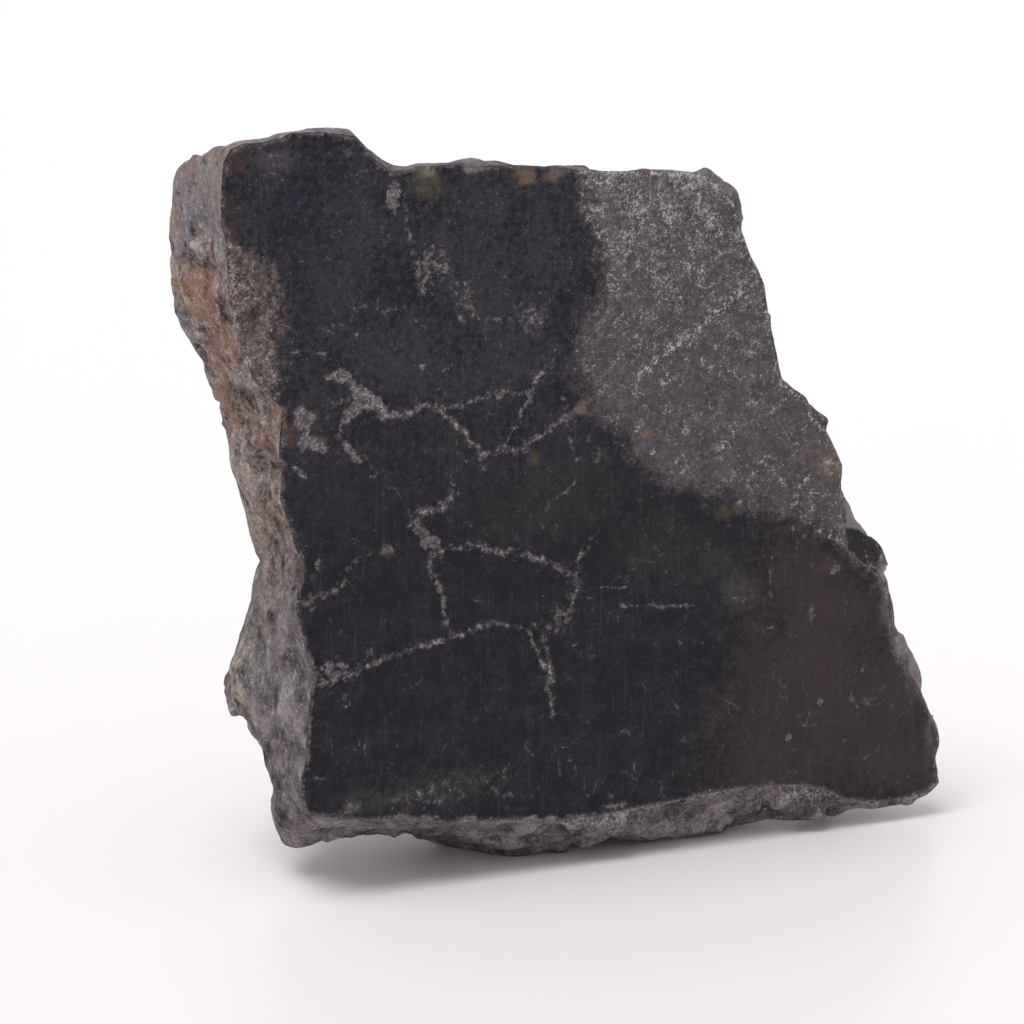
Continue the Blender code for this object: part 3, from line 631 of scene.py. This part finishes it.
class Field:
    """A number that varies over the surface. Sums and products of it add Math nodes."""

    def __init__(self, finish, socket):
        self.finish = finish
        self.socket = socket

    def math(self, operation, *others, clamp=False):
        inputs = dict(enumerate((self, *others)))
        node = self.finish.node("ShaderNodeMath", {"operation": operation, "use_clamp": clamp}, inputs)
        return Field(self.finish, node.outputs[0])

    def __add__(self, other):
        return self.math("ADD", other)

    __radd__ = __add__

    def __sub__(self, other):
        return self.math("SUBTRACT", other)

    def __rsub__(self, other):
        return Field.math(self * -1.0, "ADD", other)

    def __mul__(self, other):
        return self.math("MULTIPLY", other)

    __rmul__ = __mul__

    def rise(self, low, high):
        """0 below low, 1 above high, smooth between."""
        node = self.finish.node(
            "ShaderNodeMapRange",
            {"interpolation_type": "SMOOTHSTEP"},
            {"Value": self, "From Min": low, "From Max": high},
        )
        return Field(self.finish, node.outputs["Result"])

    def larger(self, other):
        return self.math("MAXIMUM", other)


class Finish:
    """A procedural material, built in millimetres of the object's own space."""

    def __init__(self, name):
        self.material = bpy.data.materials.new(name)
        self.material.use_nodes = True
        self.tree = self.material.node_tree
        self.shader = self.tree.nodes["Principled BSDF"]
        place = self.node("ShaderNodeTexCoord").outputs["Object"]
        scale = {"operation": "SCALE"}
        scaled = self.node("ShaderNodeVectorMath", scale, {0: place, "Scale": 1.0 / MM})
        self.here = scaled.outputs[0]

    def node(self, kind, settings=None, inputs=None):
        node = self.tree.nodes.new(kind)
        for name, value in (settings or {}).items():
            setattr(node, name, value)
        for name, value in (inputs or {}).items():
            self.feed(node.inputs[name], value)
        return node

    def feed(self, socket, value):
        if isinstance(value, Field):
            value = value.socket
        if isinstance(value, bpy.types.NodeSocket):
            self.tree.links.new(value, socket)
        else:
            socket.default_value = value

    def mark(self, name, output="Fac"):
        node = self.node("ShaderNodeAttribute", {"attribute_name": name})
        return Field(self, node.outputs[output])

    def stretched(self, turn, stretch):
        """Coordinates turned in the face's plane, then stretched, for streaks and scratches."""
        node = self.node(
            "ShaderNodeMapping",
            {"vector_type": "TEXTURE"},
            {"Vector": self.here, "Rotation": (0.0, turn, 0.0), "Scale": stretch},
        )
        return node.outputs[0]

    def noise(self, size, detail=2.0, roughness=0.5, at=None):
        node = self.node(
            "ShaderNodeTexNoise",
            {"noise_dimensions": "3D"},
            {"Vector": at or self.here, "Scale": 1.0 / size, "Detail": detail, "Roughness": roughness},
        )
        return Field(self, node.outputs["Fac"])

    def round_specks(self, size, share):
        """Small round specks in about this share of the cells: dust on the face, painted glints on the
        fracture.
        """
        node = self.node(
            "ShaderNodeTexVoronoi",
            {"feature": "F1"},
            {"Vector": self.here, "Scale": 1.0 / size, "Randomness": 1.0},
        )
        draw = self.node("ShaderNodeSeparateColor", {}, {0: node.outputs["Color"]})
        chosen = (Field(self, draw.outputs[0]) + share).rise(1.0, 1.04)
        brightness = 0.25 + Field(self, draw.outputs[1]) * 0.75
        round_off = 1.0 - Field(self, node.outputs["Distance"]).rise(0.10, 0.40)
        return chosen * brightness * round_off

    def web(self, size, width):
        """Wandering thin lines, like healed hairline cracks."""
        middle = (self.noise(size, 2.0, 0.65) - 0.5).math("ABSOLUTE")
        return 1.0 - middle.rise(0.0, width)

    def blend(self, first, second, share):
        node = self.node(
            "ShaderNodeMix",
            {"data_type": "RGBA", "blend_type": "MIX", "clamp_factor": True},
            {"Factor": share},
        )
        colours = [socket for socket in node.inputs if socket.type == "RGBA"]
        for socket, value in zip(colours, (first, second)):
            self.feed(socket, (*value, 1.0) if isinstance(value, tuple) else value)
        return next(socket for socket in node.outputs if socket.type == "RGBA")

    def bump(self, height, depth):
        node = self.node(
            "ShaderNodeBump", {}, {"Height": height, "Distance": depth * MM, "Strength": 1.0}
        )
        return node.outputs["Normal"]

    def set(self, **sockets):
        for name, value in sockets.items():
            self.feed(self.shader.inputs[name.replace("_", " ")], value)


def labradorite():
    """Near-black half-polished face, matte sawn patch, healed cracks, weathered crust and fracture."""
    stone = Finish("labradorite")
    inset, matte, brown = stone.mark("inset"), stone.mark("matte"), stone.mark("brown")
    unpolished, crack, patch = stone.mark("unpolished"), stone.mark("crack"), stone.mark("patch")
    crust, relief, facet = stone.mark("crust"), stone.mark("relief"), stone.mark("facet")
    stain_and_sheen = stone.node("ShaderNodeAttribute", {"attribute_name": "stain_and_sheen"})
    stain_and_sheen_share = Field(stone, stain_and_sheen.outputs["Alpha"])

    place = stone.node("ShaderNodeSeparateXYZ", {}, {0: stone.here})
    height = Field(stone, place.outputs["Z"])
    left = 1.0 - Field(stone, place.outputs["X"]).rise(-42.0, -26.0)
    upper = height.rise(42.0, 70.0)
    top = height.rise(58.0, 88.0)
    lip = 1.0 - height.rise(9.0, 17.0)
    high = height.rise(26.0, 60.0)
    weak = crust * (1.0 - high)
    warm = height.rise(54.0, 64.0) * (1.0 - height.rise(78.0, 86.0))

    wide = stone.noise(9.0, 2.0, 0.55)
    medium = stone.noise(2.6, 3.0, 0.6)
    fine = stone.noise(0.85, 3.0, 0.65)
    grain = stone.noise(0.36, 2.0, 0.7)
    powder = stone.noise(0.23, 2.0, 0.7)
    streaks = stone.noise(1.0, 2.0, 0.6, stone.stretched(0.0, (0.5, 1.0, 8.0)))
    scratches = stone.noise(1.0, 2.0, 0.5, stone.stretched(math.radians(-38.0), (6.0, 1.0, 0.22)))
    webs = stone.web(5.5, 0.045) * medium.rise(0.44, 0.60)
    hairlines = stone.web(9.0, 0.014) * medium.rise(0.48, 0.60)
    clusters = stone.noise(3.4, 1.0, 0.5).rise(0.34, 0.66)
    ragged = (fine - 0.5) * 3.0 + (medium - 0.5) * 4.5 + (grain - 0.5) * 2.0
    tinted = stone.noise(6.0, 2.0, 0.65)
    dust_and_glint_specks = stone.round_specks(0.26, 0.04)

    # The polished face
    mottle = (medium * 0.45 + fine * 0.4 + grain * 0.15).rise(0.42, 0.64)
    black = stone.blend(DEEP_BLACK, CLOUDY_BLACK, mottle)
    black = stone.blend(black, PALE_CLOUD, upper * (wide + fine - 0.5).rise(0.25, 0.75) * 0.85)
    brown_share = (brown + ragged * 2.5).rise(-6.0, 9.0) * (wide + fine * 0.6).rise(0.35, 0.95)
    black = stone.blend(black, BROWN_CLOUD, brown_share)
    lines = streaks.rise(0.56, 0.72) + scratches.rise(0.64, 0.80)
    black = stone.blend(black, SCRATCH, lines * 0.22)

    # The matte patch and the unpolished strip
    sanded = (fine * 0.3 + medium * 0.2 + grain * 0.3 + powder * 0.2).rise(0.37, 0.63)
    grey = stone.blend(MATTE_DARK, MATTE_PALE, sanded)
    # Painted shade: the matte patch darkens towards its bottom
    grey = stone.blend(grey, MATTE_SHADE, 0.28 - top * 0.28)
    matte_share = (matte + ragged * 0.9).rise(-2.0, 2.2)
    strip_share = (unpolished + ragged * 0.8).rise(-0.8, 2.6)
    strip_share = strip_share * (0.35 + left * 0.3 + medium.rise(0.40, 0.60) * 0.35)
    scratched = (fine * 0.6 + grain * 0.4).rise(0.36, 0.62)
    scuffed = stone.blend(SCUFFED_DARK, SCUFFED_PALE, scratched)
    face = stone.blend(stone.blend(black, grey, matte_share), scuffed, strip_share)
    rough_share = matte_share.larger(strip_share)
    # Stains, and on the face the painted sheen of its glows
    stain_and_sheen_cover = stain_and_sheen_share * (fine * 0.7 + grain * 0.3).rise(0.22, 0.58)
    face = stone.blend(face, stain_and_sheen.outputs["Color"], stain_and_sheen_cover)

    # Healed cracks, hairlines, patches and the worn edge: a grey line or haze, then pale grains
    faded = (medium * 0.5 + fine * 0.5).rise(0.34, 0.60)
    edge = 1.0 - inset.math("ABSOLUTE").rise(0.0, 1.1)
    line = (crack + (fine - 0.5) * 0.35).rise(0.52, 0.88) * (0.25 + faded * 0.60)
    filled = (patch * 1.2 + (fine - 0.5) * 1.2 + (grain - 0.5) * 0.6).rise(0.35, 0.75)
    thick = (crack * (0.45 + faded * 0.75)).larger(patch * 1.1)
    thick = thick.larger(webs * (0.2 + matte_share * 0.5))
    thick = thick.larger(edge * 0.6).larger(hairlines * 0.55)
    haze = (thick + (fine - 0.5) * 1.2 + (grain - 0.5) * 0.9).rise(0.15, 1.15)
    haze = haze * thick.rise(0.05, 0.35)
    haze = haze.larger(line).larger(filled * patch.rise(0.05, 0.3))
    hazed = stone.blend(HAZE_DARK, HAZE_PALE, (grain * 0.6 + fine * 0.4).rise(0.40, 0.62))
    face = stone.blend(face, hazed, haze * (0.85 - matte_share * 0.35))
    scored = clusters * 0.07 + top * 0.06 + scratches.rise(0.56, 0.72) * 0.07
    density = thick * 0.125 + rough_share * scored + upper * 0.02 - strip_share * 0.02
    grains = (powder * 0.65 + grain * 0.35 + (fine - 0.5) * 0.40 + density).rise(0.63, 0.79)
    face = stone.blend(face, PALE_GRAIN, grains * (0.30 + thick * 0.32 + rough_share * 0.40))
    dust = dust_and_glint_specks * 0.8 + stone.round_specks(0.15, 0.10) * 0.6
    face = stone.blend(face, DUST, dust * (0.30 + upper * 0.35 + rough_share * 0.35))

    # Fracture and crust: painted shade in the hollows, grey-brown slopes and pale worn grains
    tone = facet * (1.0 - lip * 0.85)
    # The fine relief darkens the hollows and lightens the crests: painted shade and light. The facet
    # tones and the noise are the rock's own.
    level = 0.5 + relief * 0.9 + tone * 0.55
    level = level + (medium - 0.5) * (0.5 + crust * 0.5 + weak * 0.6)
    level = level + (fine - 0.5) * (0.7 + crust * 0.4 - weak * 0.45)
    level = level + (grain - 0.5) * (0.8 - weak * 0.4)
    level = level + (streaks - 0.5) * (crust - weak) * 0.2
    broken = stone.blend(BROKEN_DARK, BROKEN_PALE, level.rise(0.12, 0.90))
    # Painted light: the downward-facing lip is made paler to make up for its shade
    broken = stone.blend(broken, LIP_PAINTED_LIGHT, lip * level.rise(0.40, 0.95) * 0.6)
    weathered = stone.blend(CRUST_DARK, CRUST_PALE, level.rise(0.10, 0.92))
    weathered = stone.blend(weathered, CRUST_TOP, height.rise(78.0, 88.0) * (0.3 + tinted * 0.5))
    orange_share = tinted.rise(0.46, 0.62) * (0.35 + warm * 0.45)
    weathered = stone.blend(weathered, CRUST_ORANGE, orange_share)
    weathered = stone.blend(weathered, CRUST_BLUE, (1.0 - tinted.rise(0.34, 0.46)) * 0.5)
    crust_share = (crust * (0.42 + high * 0.58) + wide - 0.5).rise(0.12, 0.80)
    side = stone.blend(broken, weathered, crust_share)
    low_crust = stone.blend(LOW_CRUST_DARK, LOW_CRUST_PALE, level.rise(0.10, 0.90))
    side = stone.blend(side, low_crust, weak * 0.75)
    stain_and_sheen_cover = stain_and_sheen_share * (fine * 0.6 + medium * 0.4).rise(0.34, 0.62)
    side = stone.blend(side, stain_and_sheen.outputs["Color"], stain_and_sheen_cover)
    worn = grain + (fine - 0.5) * 0.6 + relief * 0.4 + webs * 0.14
    worn = (worn + edge * (0.08 + lip * 0.10) + crust * 0.05).rise(0.63, 0.83)
    side = stone.blend(side, WORN_GRAIN, worn * (0.42 + crust * 0.2 - weak * 0.22))
    # Painted shade: the lowest places turn near-black
    side = stone.blend(side, HOLLOW_SHADE, (0.45 - level).rise(0.10, 0.42) * 0.7)
    # Painted highlight: white glints over the fracture and the crust
    side = stone.blend(side, PAINTED_GLINT, dust_and_glint_specks)

    # The face ends in a torn line where the crust or the fracture starts
    torn_edge = (fine - 0.5) * 1.1 + (grain - 0.5) * 0.7 + (medium - 0.5) * left * 4.0
    off_face = 1.0 - (inset + torn_edge).rise(-0.12, 0.25)
    colour = stone.blend(face, side, off_face)

    # Dull where it is worn or broken, with a sheen on the fracture's flat chips
    dull = rough_share.larger(off_face).larger(haze)
    roughness = 0.25 + fine * 0.12 + dull * 0.46 - facet.rise(0.1, 0.7) * 0.25
    sanded_share = matte.rise(-1.5, 1.5).larger(unpolished.rise(-0.8, 2.6)) * 0.5
    coarse = (1.0 - inset.rise(-0.3, 0.2)).larger(sanded_share) * (1.0 - weak * 0.55)
    bumps = (fine * 0.8 + grain * 0.3) * coarse
    stone.set(Base_Color=colour, Roughness=roughness, Normal=stone.bump(bumps, BUMP_DEPTH))
    stone.shader.inputs["Specular IOR Level"].default_value = GLOSS
    return stone.material


def pale_table():
    table = Finish("pale_table")
    depth = table.node("ShaderNodeSeparateXYZ", {}, {0: table.here}).outputs["Y"]
    back = Field(table, depth).rise(*TABLE_FADE)
    table.set(Base_Color=table.blend(TABLE_NEAR, TABLE_FAR, back), Roughness=0.35)
    table.shader.inputs["Specular IOR Level"].default_value = TABLE_GLOSS
    return table.material


def add_floor():
    """A level table whose far edges rise all round, so that it is the backdrop from every side."""
    shape = bmesh.new()
    bmesh.ops.create_grid(shape, x_segments=TABLE_CELLS, y_segments=TABLE_CELLS, size=TABLE_HALF)
    for vert in shape.verts:
        beyond = max(vert.co.xy.length - TABLE_LEVEL, 0.0)
        vert.co.z = TABLE_RISE * beyond * beyond
    mesh = bpy.data.meshes.new("floor")
    shape.to_mesh(mesh)
    shape.free()
    for polygon in mesh.polygons:
        polygon.use_smooth = True
    floor = bpy.data.objects.new("floor", mesh)
    bpy.context.scene.collection.objects.link(floor)
    mesh.materials.append(pale_table())


def light_studio():
    """A bright sky all round, and one wide sun from above, a little to the left and in front."""
    world = bpy.data.worlds.new("studio")
    world.use_nodes = True
    sky = world.node_tree.nodes["Background"]
    sky.inputs["Color"].default_value = (*LIGHT_TONE, 1.0)
    sky.inputs["Strength"].default_value = SKY_STRENGTH
    bpy.context.scene.world = world
    lamp = bpy.data.lights.new("overhead", "SUN")
    lamp.energy = SUN_STRENGTH
    lamp.angle = math.radians(SUN_SOFTNESS)
    lamp.color = LIGHT_TONE
    sun = bpy.data.objects.new("overhead", lamp)
    sun.rotation_euler = (-Vector(SUN_TOWARD)).to_track_quat("Z", "Y").to_euler()
    bpy.context.scene.collection.objects.link(sun)
    bpy.context.scene.view_settings.view_transform = "Standard"


noise.seed_set(CRACK_SEED)
stone, stone_left, stone_front = dress_stone()
add_camera(stone_left, stone_front)
stone.data.materials.append(labradorite())
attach(stone, "root")
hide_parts(STONE)
add_floor()
light_studio()
